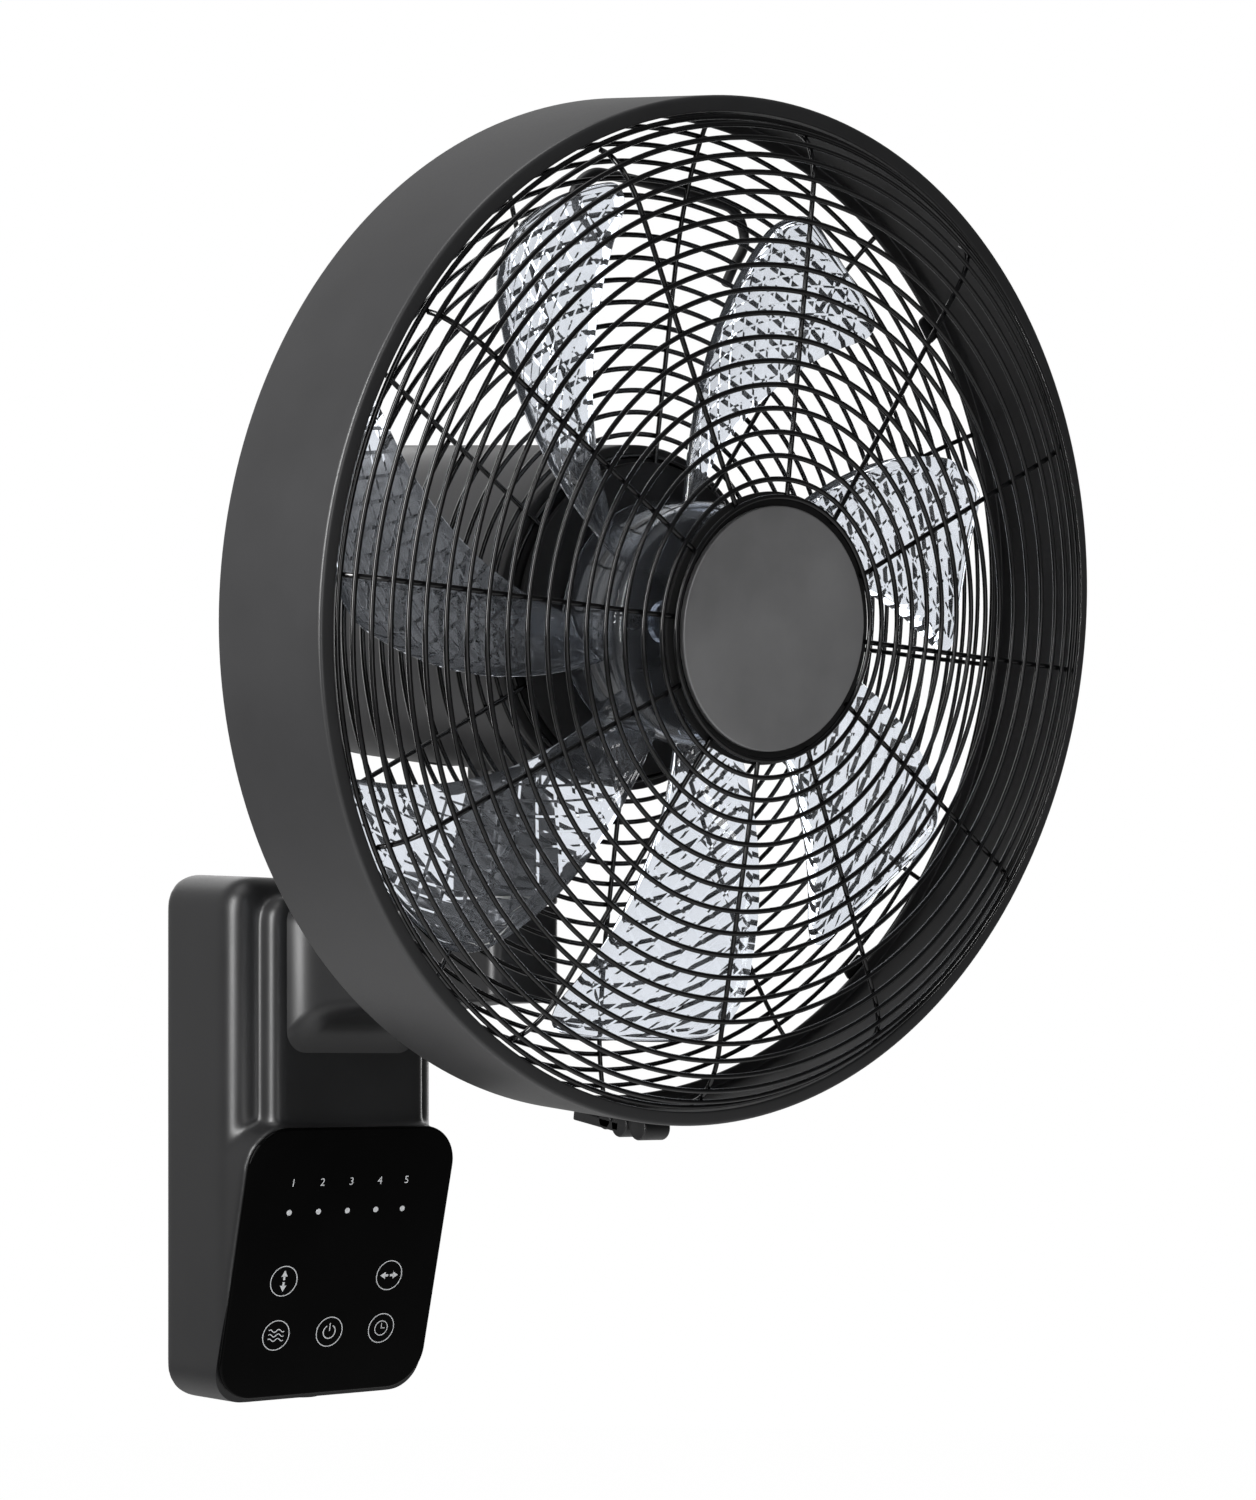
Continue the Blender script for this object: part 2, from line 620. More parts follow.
class FAN_OT_base(bpy.types.Operator):
    """Base shell with its raised pad, as one skin with soft inner corners"""

    bl_idname = "fan.base"
    bl_label = "Base shell"

    def execute(self, context):
        name = "base_body"
        piece = object_of(name, mesh_of(
            name, together(base_block(), pad_block(), panel_frame())))
        remesh = piece.modifiers.new("join", "REMESH")
        remesh.mode = "VOXEL"
        remesh.voxel_size = 1.3 * METRES
        smooth = piece.modifiers.new("soften", "SMOOTH")
        smooth.factor, smooth.iterations = 0.5, 36
        bake_modifiers(piece)
        bm = bmesh.new()
        bm.from_mesh(piece.data)
        normal = (PANEL.to_3x3() @ Vector((0, -1, 0))).normalized()
        seat = METRES * (PANEL @ Vector((0, PANEL_THICKNESS + CLEARANCE, 0)))
        for point, direction in ((seat, normal), (Vector((0, -0.0008, 0)), Vector((0, 1, 0)))):
            bmesh.ops.bisect_plane(
                bm, geom=bm.verts[:] + bm.edges[:] + bm.faces[:], plane_co=point,
                plane_no=direction, clear_outer=True)
            if direction is normal:
                edges = [e for e in bm.edges if e.is_boundary]
                bmesh.ops.holes_fill(bm, edges=edges, sides=0)
        bm.to_mesh(piece.data)
        bm.free()
        wall = piece.modifiers.new("wall", "SOLIDIFY")
        wall.thickness, wall.offset = BASE_WALL * METRES, -1
        bake_modifiers(piece)
        low = -BASE_HEIGHT / 2
        half = BASE_HOLE_SPAN / 2
        carve(piece, *[
            placed(lathe([(0, low - 1), (r, low - 1), (r, low + 8), (0, low + 8)], 32),
                   upright_at(-from_wall, x))
            for x, from_wall, r in ((-half, BASE_HOLE_FROM_WALL, BASE_HOLE_RADIUS),
                                    (half, BASE_HOLE_FROM_WALL, BASE_HOLE_RADIUS),
                                    (0, INLET_FROM_WALL, INLET_RADIUS))])
        finish_piece(piece, "satin_black_plastic", "wall_base", ("base_shell",), sharp_degrees=45)
        gland = lathe(soften([
            (3.8, low - 1.1), (8.5, low - 1.1), (8.5, low - 0.3), (5.7, low - 0.3),
            (5.7, low + 3.3), (7.5, low + 3.3), (7, low + 5.3), (3.8, low + 5.3),
        ], [0.3, 0.6, 0.2, 0, 0, 0.3, 0.3, 0.3], 4), 64)
        add_piece("inlet_grommet", placed(gland, upright_at(-INLET_FROM_WALL)), "black_rubber",
                  "wall_base", "inlet_gland")
        return {"FINISHED"}


def ring_mark(radius, width, x, z, start=0.0, turn=2 * math.pi):
    """Flat printed ring or arc."""
    steps = max(8, int(40 * turn / (2 * math.pi)))
    points, faces = [], []
    for n in range(steps + 1):
        a = start + turn * n / steps
        for r in (radius - width / 2, radius + width / 2):
            points.append((x + r * math.cos(a), z + r * math.sin(a)))
    for n in range(steps):
        faces.append([2 * n, 2 * n + 1, 2 * n + 3, 2 * n + 2])
    return points, faces


def line_mark(points, width):
    """Flat printed line of even width."""
    rows, faces = [], []
    path = [Vector(p) for p in points]
    for i, p in enumerate(path):
        along = (path[min(i + 1, len(path) - 1)] - path[max(i - 1, 0)]).normalized()
        side = Vector((-along.y, along.x)) * width / 2
        rows += [tuple(p - side), tuple(p + side)]
    for n in range(len(path) - 1):
        faces.append([2 * n, 2 * n + 1, 2 * n + 3, 2 * n + 2])
    return rows, faces


def arrow_mark(tip, direction, size):
    d = Vector(direction).normalized()
    side = Vector((-d.y, d.x))
    t = Vector(tip)
    return [tuple(t), tuple(t - d * size + side * size * 0.6),
            tuple(t - d * size - side * size * 0.6)], [[0, 1, 2]]


def digit_mark(text, x, z, height):
    """A plain number in flat outline."""
    curve = bpy.data.curves.new("number", "FONT")
    curve.body, curve.size, curve.align_x = text, height * 1.4, "CENTER"
    letter = bpy.data.objects.new("number", curve)
    bpy.context.scene.collection.objects.link(letter)
    bpy.context.view_layer.update()
    mesh = bpy.data.meshes.new_from_object(
        letter.evaluated_get(bpy.context.evaluated_depsgraph_get()))
    points = [(v.co.x + x, v.co.y + z - height / 2) for v in mesh.vertices]
    faces = [list(p.vertices) for p in mesh.polygons]
    bpy.data.objects.remove(letter)
    bpy.data.curves.remove(curve)
    bpy.data.meshes.remove(mesh)
    return points, faces


class FAN_OT_panel(bpy.types.Operator):
    """Glass control panel with its printed marks"""

    bl_idname = "fan.panel"
    bl_label = "Control panel"

    def execute(self, context):
        corner = millimetres(context.scene.fan_sizes.panel_corner)

        def outline(inset):
            return rounded_rectangle(
                PANEL_WIDTH - 2 * inset, PANEL_LENGTH - 2 * inset, corner - inset,
                (0, -PANEL_LENGTH / 2), steps=16)

        add_piece("panel_glass", across_y(outline, 0, PANEL_THICKNESS, 1.3, 6),
                  "black_glass", "wall_base", "control_panel", PANEL)
        marks = []
        number_row, dot_row, arrow_row, button_row, side = -30.4, -47.4, -86.5, -117.7, 35
        for n, x in enumerate((-38, -19, 0, 19, 37)):
            marks.append(digit_mark(str(n + 1), x, number_row, 4.4))
            marks.append(ring_mark(0.8, 1.6, x, dot_row))
        for x, z in ((-side, arrow_row), (side, arrow_row),
                     (-side, button_row), (0, button_row), (side, button_row)):
            marks.append(ring_mark(8.5, 0.5, x, z))
        for x, ways in ((-side, ((0, 1), (0, -1))), (side, ((1, 0), (-1, 0)))):
            for way in ways:
                start, end, tip = [
                    (x + reach * way[0], arrow_row + reach * way[1]) for reach in (0.6, 3, 6)]
                marks.append(arrow_mark(tip, way, 3.4))
                marks.append(line_mark([start, end], 1.3))
        for n in (-1, 0, 1):
            wave = [(-side + t, button_row + 2.6 * n + 0.8 * math.sin(t * 1.15))
                    for t in np.linspace(-5, 5, 25)]
            marks.append(line_mark(wave, 0.5))
        marks.append(ring_mark(3.9, 0.6, 0, button_row, math.radians(120), math.radians(300)))
        marks.append(line_mark([(0, button_row + 0.5), (0, button_row + 5.1)], 0.6))
        marks.append(ring_mark(4.2, 0.5, side, button_row))
        marks.append(line_mark([
            (side, button_row + 2.8), (side, button_row), (side + 2.4, button_row)], 0.5))
        flat = together(*[([(x, -0.03, z) for x, z in pts], faces) for pts, faces in marks])
        piece = object_of("panel_marks", mesh_of("panel_marks", flat, PANEL))
        ink = piece.modifiers.new("ink", "SOLIDIFY")
        ink.thickness, ink.offset = 0.05 * METRES, 0
        bake_modifiers(piece)
        finish_piece(piece, "white_acetal", "wall_base", finish="panel_print")
        return {"FINISHED"}


# ------------------------------------------------------------------ arm and neck


def arm_outline(distance, inset):
    """Outline of the arm at a distance from the pad, drawn in by an inset."""
    along = min(max(distance, 0), ARM_LENGTH) / ARM_LENGTH
    flare = math.exp(-max(distance, 0) / ARM_FLARE) if distance < ARM_LENGTH else 0
    edge = ELBOW_EDGE - inset
    into = max(0, distance - (ARM_END - inset - edge))
    drawn = edge - math.sqrt(max(0, edge * edge - into * into))
    width = (ARM_ROOT_WIDTH + along * (ELBOW_WIDTH - ARM_ROOT_WIDTH)
             + flare * (ARM_FOOT_WIDTH - ARM_ROOT_WIDTH) - 2 * inset - 2 * drawn)
    bottom = (ARM_ROOT_BOTTOM + along * (ELBOW_BOTTOM - ARM_ROOT_BOTTOM)
              - flare * (ARM_ROOT_BOTTOM - ARM_FOOT_BOTTOM) + inset)
    top = ELBOW_TOP + flare * (ARM_FOOT_TOP - ELBOW_TOP) - inset
    radius = ARM_ROOT_CORNER + along * (ELBOW_CORNER - ARM_ROOT_CORNER) - inset / 2
    return [(x, -PAD_DEPTH - distance, z) for x, z in rounded_rectangle(
        width, top - bottom, radius, (0, (top + bottom) / 2))]


def arm_form(inset):
    start = -inset if inset > 0 else CLEARANCE
    edge, end = ELBOW_EDGE - inset, ARM_END - inset
    stations = [start + ARM_FLARE * s for s in (0, 0.15, 0.3, 0.5, 0.75, 1, 1.4, 1.9, 2.6, 4, 6)]
    stations += list(np.linspace(52, ARM_LENGTH, 5))
    stations += [end - edge + edge * math.sin(math.pi / 2 * n / 8) for n in range(9)]
    return loft([arm_outline(d, inset) for d in stations])


class FAN_OT_arm(bpy.types.Operator):
    """Hollow arm with its bushing"""

    bl_idname = "fan.arm"
    bl_label = "Arm"

    def execute(self, context):
        upright = upright_at(-PAN_AXIS_FROM_WALL)
        mouth = placed(lathe([
            (0, ELBOW_TOP - 6), (BUSHING_RADIUS + CLEARANCE, ELBOW_TOP - 6),
            (BUSHING_RADIUS + CLEARANCE, ELBOW_TOP + 1), (0, ELBOW_TOP + 1)], 64), upright)
        add_piece("arm_bracket", arm_form(0), "satin_black_plastic", "wall_base", "arm_shell",
                  cutters=(arm_form(ARM_WALL), mouth))
        inner, seat = BUSHING_RADIUS - BUSHING_WALL, ELBOW_TOP + CLEARANCE
        bushing = lathe(soften([
            (inner, ELBOW_TOP - 4), (BUSHING_RADIUS, ELBOW_TOP - 4), (BUSHING_RADIUS, seat),
            (BUSHING_FLANGE_RADIUS, seat), (BUSHING_FLANGE_RADIUS, seat + 1), (inner, seat + 1),
        ], [0.3, 0.3, 0, 0.3, 0.3, 0.3], 3), 96)
        add_piece("pan_bush", placed(bushing, upright), "white_acetal", "wall_base",
                  "pan_bushing")
        return {"FINISHED"}


def neck_form():
    """Neck: a rounded post whose shoulders draw in to a slim stem inside the housing. The rows
    are height, width, depth and corner radius."""
    keys = [(NECK_BOTTOM, 43, 46, 8), (NECK_BOTTOM + 0.4, 44.4, 47.4, 8.7),
            (NECK_BOTTOM + 1, 45, 48, 9), (150, 45, 48, 9), (155, 44.7, 47.2, 9),
            (159, 44, 45.6, 9), (162, 43, 44, 9), (167, 40.6, 40.4, 9), (172, 37.5, 36, 9),
            (176, 33.5, 29.6, 7), (179, 30.8, 25, 5.5), (180.5, 30, 24, 5),
            (TILT_AXIS_HEIGHT, 30, 20, 4)]
    return loft([
        [(x, y - PAN_AXIS_FROM_WALL, z) for x, y in rounded_rectangle(w, d, r)]
        for z, w, d, r in keys])


class FAN_OT_neck(bpy.types.Operator):
    """Neck that swings on the arm and carries the head"""

    bl_idname = "fan.neck"
    bl_label = "Neck"

    def execute(self, context):
        sideways = Matrix.Translation((0, -PAN_AXIS_FROM_WALL, TILT_AXIS_HEIGHT)) @ Matrix.Rotation(
            -math.pi / 2, 4, "Z")
        upright = upright_at(-PAN_AXIS_FROM_WALL)
        bore = TILT_PIN_RADIUS + CLEARANCE
        boss = placed(lathe([
            (bore, -15), (NECK_BOSS_RADIUS, -15), (NECK_BOSS_RADIUS, 15), (bore, 15)], 64), sideways)
        pin = placed(lathe([(0, -30), (bore, -30), (bore, 30), (0, 30)], 48), sideways)
        spigot = placed(lathe([
            (2.3, 106.4), (6, 106.4), (6, 113), (13.7, 113), (13.7, 123.6), (2.3, 123.6)], 64),
            upright)
        piece = object_of("neck_post", mesh_of("neck_post", neck_form()))
        carve(piece, pin)
        extra = object_of("neck_extra", mesh_of("neck_extra", together(boss, spigot)))
        bm = bmesh.new()
        bm.from_mesh(piece.data)
        bm.from_mesh(extra.data)
        bm.to_mesh(piece.data)
        bm.free()
        bpy.data.objects.remove(extra)
        finish_piece(piece, "satin_black_plastic", "neck_unit", ("neck",))
        return {"FINISHED"}


# ------------------------------------------------------------------ drum and grilles


class FAN_OT_drum(bpy.types.Operator):
    """Round drum with its lip and the shelf for the rear grille, its catch and its clips"""

    bl_idname = "fan.drum"
    bl_label = "Drum"

    def execute(self, context):
        rim = millimetres(context.scene.fan_sizes.drum_radius)
        lip = rim - DRUM_LIP
        shelf = drum_inside(SHELF_REAR) - DRUM_SHELF
        profile = soften([
            (lip, 0), (rim, 0), (drum_outside(DRUM_DEPTH), DRUM_DEPTH),
            (drum_inside(DRUM_DEPTH), DRUM_DEPTH), (drum_inside(SHELF_REAR), SHELF_REAR),
            (shelf, SHELF_REAR), (shelf, SHELF_REAR - 2),
            (drum_inside(SHELF_REAR - 2), SHELF_REAR - 2),
            (drum_inside(DRUM_WALL), DRUM_WALL), (lip, DRUM_WALL),
        ], [1.0, 2.2, 1.0, 0.7, 0.4, 0.6, 0.6, 0.8, 1.5, 1.0], 6)
        add_piece("drum_shell", lathe(profile, 256), "satin_black_plastic", "head", "drum", HEAD,
                  "drum_plastic")
        add_piece("catch_under_drum", catch_form(), "satin_black_plastic", "head", "drum_catch",
                  HEAD, sharp_degrees=50)
        front = REAR_PLANE - REAR_CROWN + WIRE + CLEARANCE
        wall = drum_inside(front) * FLAT - 1.5 * CLEARANCE
        inside = clip_inside()
        for n in range(4):
            turn = Matrix.Rotation(-math.radians(45 + 90 * n), 4, "Y")
            body = across_y(
                lambda inset: rounded_rectangle(
                    wall - inside - 2 * inset, CLIP_WIDTH - 2 * inset, CLIP_CORNER - inset,
                    ((wall + inside) / 2, 0), steps=5),
                front, front + CLIP_THICKNESS, 0.5, 3)
            node = nearest_clip(HEAD @ turn @ Vector(((wall + inside) / 2, front, 0)))
            add_piece(f"rim_clip_{n + 1}", placed(body, turn), "matt_black_plastic", "head", node,
                      HEAD)
        return {"FINISHED"}


def clip_inside():
    """Inner end of a rim clip, clear of the ring next to the rim."""
    second = REAR_FIRST + FIRST_GAP
    pitch = (REAR_RIM - second) / (REAR_RINGS - 3.6)
    start = second + (REAR_RINGS - 2 - REAR_EDGE_RINGS) * pitch
    return REAR_RIM - (REAR_RIM - start) / REAR_EDGE_RINGS + WIRE


def nearest_clip(point):
    """The clip node whose middle is nearest to a point in millimetres."""
    def gap(name):
        low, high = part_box(name)
        return ((low + high) / 2 / METRES - point).length
    return min((f"grille_clip_{n}" for n in range(1, 5)), key=gap)


def catch_form():
    """Sprung catch: a tongue to the rear, one small knuckle and two large ones."""
    def under(y):
        return -drum_outside(y)

    def disc(y, radius, drop):
        middle, half, edge = under(y) - drop + radius, CATCH_HALF_WIDTH, 0.8
        bevel = [(half - edge, radius), (half - edge * 0.3, radius - edge * 0.3),
                 (half, radius - edge)]
        return loft([
            [(x, y + r * math.cos(a), middle + r * math.sin(a))
             for a in (2 * math.pi * n / 48 for n in range(48))]
            for x, r in [(-x, r) for x, r in reversed(bevel)] + bevel])

    def bar(y0, y1, low, high, half):
        return loft([[(x, y, z) for x, z in rounded_rectangle(
            2 * half, high - low, 1.2, (0, (low + high) / 2), 4)] for y in (y0, y1)])

    middle, rear = CATCH_FRONT + CATCH_PITCH, CATCH_FRONT + 1.8 * CATCH_PITCH
    return together(
        disc(CATCH_FRONT, KNUCKLE_RADIUS, KNUCKLE_DROP),
        disc(middle, KNUCKLE_RADIUS, KNUCKLE_DROP),
        disc(rear, SMALL_KNUCKLE_RADIUS, SMALL_KNUCKLE_DROP),
        bar(middle + 1, DRUM_DEPTH + CATCH_REACH, under(DRUM_DEPTH) - 6,
            under(DRUM_DEPTH) - 0.4, CATCH_HALF_WIDTH),
        bar(CATCH_FRONT, rear, under(middle) - 6, under(middle) + 1, CATCH_HALF_WIDTH - 1))


def front_profile():
    """Where each ring of the front grille crosses a spoke: radius, y and slope."""
    slope = math.atan2(FRONT_RISE, SHOULDER - FRONT_FIRST)

    def plane(r):
        return WIRE / 2 - FRONT_CROWN + (r - FRONT_FIRST) * math.tan(slope)

    rows = [(FRONT_FIRST, plane(FRONT_FIRST), slope)]
    second = FRONT_FIRST + FIRST_GAP
    flat = FRONT_RINGS - 1 - SHOULDER_RINGS
    pitch = (SHOULDER - second) / (flat - 0.8)
    rows += [(second + n * pitch, plane(second + n * pitch), slope) for n in range(flat)]
    steepest = math.radians(80)
    run = (GRILLE_RIM - SHOULDER) / math.sin(steepest)
    fall = SHOULDER_DEPTH / (1 - math.cos(steepest))
    for n in range(1, SHOULDER_RINGS + 1):
        turn = steepest * (n / SHOULDER_RINGS) ** 1.2
        rows.append((SHOULDER + run * math.sin(turn),
                     plane(SHOULDER) + fall * (1 - math.cos(turn)),
                     math.atan2(fall * math.sin(turn), run * math.cos(turn))))
    return rows


def rear_profile():
    """The same for the rear grille, whose edge curves forward to the drum's shelf. Its slope is
    that of the mirrored surface."""
    edge = 0.64 * REAR_RIM
    span = REAR_RIM - edge
    second = REAR_FIRST + FIRST_GAP
    pitch = (REAR_RIM - second) / (REAR_RINGS - 3.6)
    flat = REAR_RINGS - 1 - REAR_EDGE_RINGS
    start = second + (flat - 1) * pitch
    radii = [REAR_FIRST] + [second + n * pitch for n in range(flat)]
    radii += [start + n * (REAR_RIM - start) / REAR_EDGE_RINGS
              for n in range(1, REAR_EDGE_RINGS + 1)]
    rows = []
    for r in radii:
        t = max(0, r - edge) / span
        rows.append((r, -REAR_PLANE + REAR_CROWN * t ** 3,
                     math.atan(3 * REAR_CROWN * t * t / span)))
    return rows


def through(points, parts=4):
    """Smooth path through points."""
    path = []
    for i in range(len(points) - 1):
        p0 = Vector(points[max(i - 1, 0)])
        p1, p2 = Vector(points[i]), Vector(points[i + 1])
        p3 = Vector(points[min(i + 2, len(points) - 1)])
        for n in range(parts):
            t = n / parts
            path.append(0.5 * (2 * p1 + (p2 - p0) * t + (2 * p0 - 5 * p1 + 4 * p2 - p3) * t * t
                               + (3 * p1 - p0 - 3 * p2 + p3) * t ** 3))
    path.append(Vector(points[-1]))
    return path


def wire_grille(profile, wire, mirrored):
    """Round ring wires in front of the grille's surface and spoke wires behind it."""
    sign = -1 if mirrored else 1
    parts = []
    for r, y, slope in profile:
        ring = (r + wire / 2 * math.sin(slope), sign * (y - wire / 2 * math.cos(slope)))
        parts.append(ring_wire(ring[0], ring[1], wire))
    line = through([(r - wire / 2 * math.sin(s) * 0.92, y + wire / 2 * math.cos(s) * 0.92)
                    for r, y, s in profile])
    for n in range(SPOKES):
        a = 2 * math.pi * n / SPOKES
        parts.append(sweep([(p[0] * math.cos(a), sign * p[1], p[0] * math.sin(a)) for p in line],
                           wire / 2))
    return together(*parts)


class FAN_OT_grilles(bpy.types.Operator):
    """Front and rear grille in round wire"""

    bl_idname = "fan.grilles"
    bl_label = "Grilles"

    def execute(self, context):
        wire = millimetres(context.scene.fan_sizes.wire)
        for side, profile, mirrored in (
            ("front", front_profile(), False), ("rear", rear_profile(), True),
        ):
            add_piece(f"{side}_wires", wire_grille(profile, wire, mirrored),
                      "black_coated_wire", "head", f"{side}_grille", HEAD, sharp_degrees=60)
        return {"FINISHED"}


class FAN_OT_badge(bpy.types.Operator):
    """Plain badge and the cup behind it"""

    bl_idname = "fan.badge"
    bl_label = "Badge"

    def execute(self, context):
        radius = millimetres(context.scene.fan_sizes.badge_radius)
        back = BADGE_FRONT + BADGE_THICKNESS
        corner = [(radius - 1 + math.sin(a), BADGE_FRONT + 1 - math.cos(a))
                  for a in (math.pi / 2 * n / 6 for n in range(7))]
        face = [(0, BADGE_FRONT), (20, BADGE_FRONT), (42, BADGE_FRONT)] + corner
        face += [(radius, back), (0, back)]
        add_piece("badge_disc", lathe(face, 192), "satin_black_plastic", "head", "badge", HEAD,
                  "badge_lacquer", 50)
        boss = back + CLEARANCE
        flange = WIRE / 2 - FRONT_CROWN + WIRE + CLEARANCE
        r = FRONT_FIRST + WIRE
        cup = [(0, boss), (r / 2, boss), (r / 2, flange), (r - 0.5, flange), (r, flange + 0.5),
               (r, flange + 1.2), (r - 0.4, flange + 1.6), (r - 6, flange + 1.6),
               (r - 10, flange + 6), (r - 11.5, flange + 7), (0, flange + 7)]
        add_piece("badge_back", lathe(cup, 128), "matt_black_plastic", "head", "badge_cup", HEAD)
        return {"FINISHED"}


# ------------------------------------------------------------------ motor housing


class FAN_OT_housing(bpy.types.Operator):
    """Motor housing, rear cover, front cap and the nut that holds the rear grille"""

    bl_idname = "fan.housing"
    bl_label = "Motor housing"

    def execute(self, context):
        inner = HOUSING_RADIUS - HOUSING_WALL
        tube = lathe(soften([
            (inner, HOUSING_FRONT), (HOUSING_RADIUS, HOUSING_FRONT),
            (HOUSING_RADIUS, HOUSING_SEAM), (inner, HOUSING_SEAM)], [0.4, 1.2, 0.8, 0.4], 4), 144)

        def lean(angle):
            """How far the neck reaches along the housing's wall when the head leans over it."""
            return HOUSING_RADIUS * math.tan(angle) + NECK_HALF_DEPTH / math.cos(angle) + 3

        front = HEAD_TILT_AXIS - lean(TILT_AT_REST + TILT_DOWN)
        rear = HEAD_TILT_AXIS + lean(TILT_UP - TILT_AT_REST)
        slot = rounded_rectangle(
            NECK_SLOT_WIDTH, rear - front, NECK_SLOT_CORNER, (0, (front + rear) / 2), 8)
        opening = loft([[(x, y, z) for x, y in slot] for z in (-93, -10)])
        add_piece("housing_tube", tube, "satin_black_plastic", "head", "motor_housing", HEAD,
                  "drum_plastic", cutters=(placed(opening, HEAD),))
        seam = HOUSING_SEAM + CLEARANCE
        depth = HOUSING_REAR - seam
        dome, hollow = [], []
        for n in range(25):
            a = math.pi / 2 * n / 24
            r, y = max(math.cos(a), 0) ** 0.5, math.sin(a) ** 0.75
            dome.append((HOUSING_RADIUS * r if n < 24 else 0, seam + depth * y))
            hollow.insert(0, ((HOUSING_RADIUS - HOUSING_WALL) * r if n < 24 else 0,
                              seam + (depth - HOUSING_WALL) * y))
        add_piece("rear_dome", lathe(dome + hollow, 144), "satin_black_plastic", "head",
                  "rear_cover", HEAD, "drum_plastic")
        rim = inner - CLEARANCE
        back, seat = CAP_FRONT + CAP_THICKNESS, CAP_FRONT + 1.8
        cap = soften([
            (5, CAP_FRONT), (HOUSING_RADIUS, CAP_FRONT), (HOUSING_RADIUS, back), (rim, back),
            (rim, back + 6), (rim - 2.5, back + 6), (rim - 2.5, back), (15.3, back),
            (15.3, seat + 7), (11.3, seat + 7), (11.3, seat), (5, seat),
        ], [0.3, 1.4] + [0] * 10, 5)
        add_piece("front_cap", lathe(cap, 144), "matt_black_plastic", "head", "motor_front_cap",
                  HEAD)
        nut_rear = REAR_PLANE - WIRE - CLEARANCE
        nut_front = nut_rear - 2.4
        nut = soften([
            (24, nut_front), (75, nut_front), (75, nut_rear), (30, nut_rear),
            (30, CAP_FRONT - CLEARANCE), (24, CAP_FRONT - CLEARANCE),
        ], [0.5, 1.2, 0.4, 0, 0, 0], 4)
        add_piece("rear_grille_nut", lathe(nut, 144), "matt_black_plastic", "head", "grille_nut",
                  HEAD)
        return {"FINISHED"}


class FAN_OT_bar(bpy.types.Operator):
    """Carrying bar behind the rear grille"""

    bl_idname = "fan.bar"
    bl_label = "Carrying bar"

    def execute(self, context):
        bar = millimetres(context.scene.fan_sizes.bar)
        y = REAR_PLANE + WIRE + CLEARANCE + bar / 2
        back = y + 8
        top = REAR_RIM - BAR_FROM_RIM
        low = top - BAR_HEIGHT
        half = [(BAR_HALF_WIDTH / 2, back, top), (BAR_HALF_WIDTH - 9.6, back, top - 3),
                (BAR_HALF_WIDTH - 2, back, top - 16), (BAR_FOOT + 4, y + 1, low + 8),
                (BAR_FOOT, y, low)]
        arch = [(-x, depth, z) for x, depth, z in reversed(half)] + half
        add_piece("carrying_loop", sweep(through(arch, 12), bar / 2, 20), "satin_black_plastic",
                  "head", "carrying_bar", HEAD, sharp_degrees=60)
        return {"FINISHED"}


# ------------------------------------------------------------------ fan wheel


def blade_middle(radius, across):
    """Point of a blade's middle surface, in the head's space."""
    root = HUB_RADIUS - HUB_WALL / 2
    out = (radius - root) / (BLADE_TIP - root)
    into = max(0, radius - (BLADE_TIP - BLADE_CORNER))
    trim = (BLADE_CORNER - math.sqrt(max(0, BLADE_CORNER ** 2 - into ** 2))) / radius
    leading = math.radians(28 - 29.4 * out) + trim
    trailing = math.radians(49.3 - 12 * out - 8.5 * out * out) - trim
    angle = leading + across * (trailing - leading)
    full = BLADE_REAR - 4 * (1 - out)
    y = full + across * (BLADE_FRONT - full) + BLADE_CAMBER * math.sin(math.pi * across)
    return Vector((radius * math.cos(angle), y, radius * math.sin(angle)))


def blade_form(thickness):
    """Points, faces, blade coordinates and relief of one blade."""
    root = HUB_RADIUS - HUB_WALL / 2
    radii = [root + (BLADE_TIP - BLADE_CORNER - root) * n / 22 for n in range(23)]
    radii += [BLADE_TIP - BLADE_CORNER * (1 - math.sin(math.pi / 2 * n / 12)) for n in range(1, 13)]
    columns = [n / 20 for n in range(21)]
    points, where, relief = [], [], []
    for sign in (1, -1):
        for radius in radii:
            chord = (blade_middle(radius, 1) - blade_middle(radius, 0)).length
            for across in columns:
                low, high = max(0, across - 0.02), min(1, across + 0.02)
                inner = min(max(root, radius - 1), BLADE_TIP - 1.5)
                along = blade_middle(radius, high) - blade_middle(radius, low)
                if along.length < 1e-6:
                    along = blade_middle(radius - 2, high) - blade_middle(radius - 2, low)
                outward = blade_middle(inner + 1, across) - blade_middle(inner, across)
                normal = outward.cross(along).normalized()
                to_edge = min(across * chord, (1 - across) * chord, BLADE_TIP - radius, 30)
                thin = thickness / 2 * min(1, 0.35 + to_edge / 1.5)
                points.append(tuple(blade_middle(radius, across) + sign * thin * normal))
                where.append((radius * METRES, (across - 0.5) * chord * METRES))
                relief.append(1.0 if to_edge > 5 and sign > 0 else 0.0)
    rows, count = len(radii), len(columns)
    faces = []
    for i in range(rows - 1):
        for j in range(count - 1):
            a = i * count + j
            faces.append([a, a + 1, a + count + 1, a + count])
            b = a + rows * count
            faces.append([b + count, b + count + 1, b + 1, b])
    border = list(range(count)) + [i * count + count - 1 for i in range(1, rows)]
    border += [(rows - 1) * count + j for j in range(count - 2, -1, -1)]
    border += [i * count for i in range(rows - 2, 0, -1)]
    for n, a in enumerate(border):
        b = border[(n + 1) % len(border)]
        faces.append([b, a, a + rows * count, b + rows * count])
    return points, faces, where, relief


